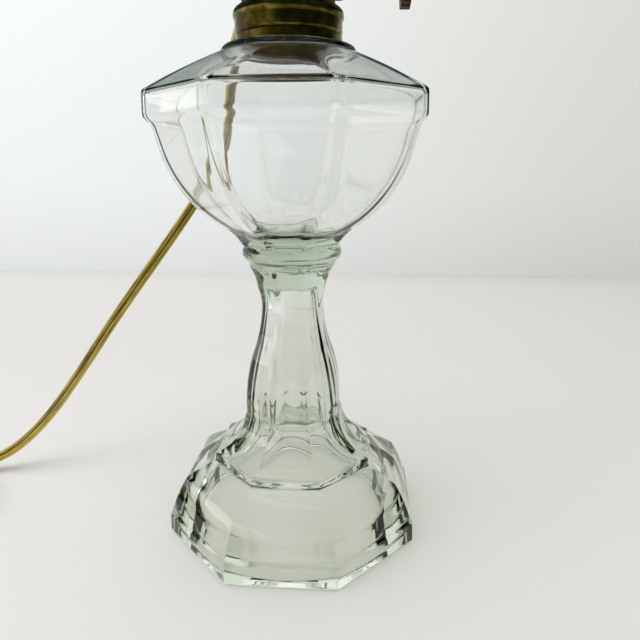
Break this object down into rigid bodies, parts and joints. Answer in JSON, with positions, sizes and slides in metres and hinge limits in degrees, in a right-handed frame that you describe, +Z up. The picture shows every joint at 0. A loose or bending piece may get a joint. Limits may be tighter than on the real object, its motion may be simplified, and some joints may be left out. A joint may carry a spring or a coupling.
{
  "type": "electrified oil lamp",
  "caption": "Octagonal pressed-glass oil lamp with a brass collar, its burner converted to hold an electric bulb, with a turn-knob switch and a coiled plug-in cord.",
  "frame": {"origin": "centre of the underside of the eight-sided foot, on the lamp's axis", "axes": "+Z up along the lamp's axis, +X towards the turn knob, and a flat side of the foot square to it"},
  "size_m": [0.2753, 0.168, 0.3158],
  "materials": {
    "pressed_glass": "pressed, grey-green, fire-polished edges",
    "clear_glass": "blown, clear",
    "cement": "plaster of Paris",
    "aged_brass": "worn, brown and green patina",
    "dark_bronze": "dark bronze patina, rubbed on edges",
    "bright_brass": "plain, slightly tarnished",
    "plated_steel": "zinc-plated",
    "tungsten": "drawn wire",
    "lamp_cap": "drawn, plain",
    "porcelain": "glazed porcelain",
    "fibre": "pressed insulating fibre",
    "dark_plastic": "moulded phenolic resin",
    "lead_insulation": "extruded",
    "gold_cord": "extruded, translucent gold",
    "tie_wrap": "plastic-covered wire tie",
    "plug_plastic": "moulded, gold"
  },
  "bodies": {
    "root": {"pedestal_glass": "pressed_glass", "glass_wafer": "pressed_glass", "font_glass": "pressed_glass", "collar_cement": "cement", "brass_collar": "aged_brass", "burner_base": "dark_bronze", "cord_bushing": "dark_plastic", "switch_housing": "dark_plastic", "switch_contacts": "bright_brass", "switch_terminals": "bright_brass", "switch_nut": "bright_brass", "pierced_basket": "dark_bronze", "chimney_gallery": "dark_bronze", "threaded_nipple": "plated_steel", "lock_nuts": "plated_steel", "socket_cap": "bright_brass", "socket_shell": "bright_brass", "socket_liner": "fibre", "socket_insulator": "porcelain", "screw_shell": "bright_brass", "centre_contact": "bright_brass", "terminal_screws": "plated_steel", "inner_leads": "lead_insulation", "cord_run": "gold_cord", "cord_coil": "gold_cord", "cord_tail": "gold_cord", "cord_tie": "tie_wrap", "plug_body": "plug_plastic", "plug_blades": "bright_brass"},
    "switch_knob": {"turn_knob": "dark_bronze", "switch_shaft": "bright_brass", "switch_cam": "dark_plastic"},
    "bulb": {"bulb_tip": "plated_steel", "bulb_insulator": "dark_plastic", "bulb_cap": "lamp_cap", "bulb_glass": "clear_glass", "bulb_mount": "clear_glass", "support_wires": "plated_steel", "filament": "tungsten"}
  },
  "joints": [
    {"name": "knob_turn", "type": "hinge", "parent": "root", "child": "switch_knob", "pos_m": [0.0395, 0, 0.2145], "axis": [1, 0, 0], "continuous": true},
    {"name": "bulb_lift", "type": "slide", "parent": "root", "child": "bulb", "axis": [0, 0, 1], "range_m": [0, 0.03]}
  ]
}
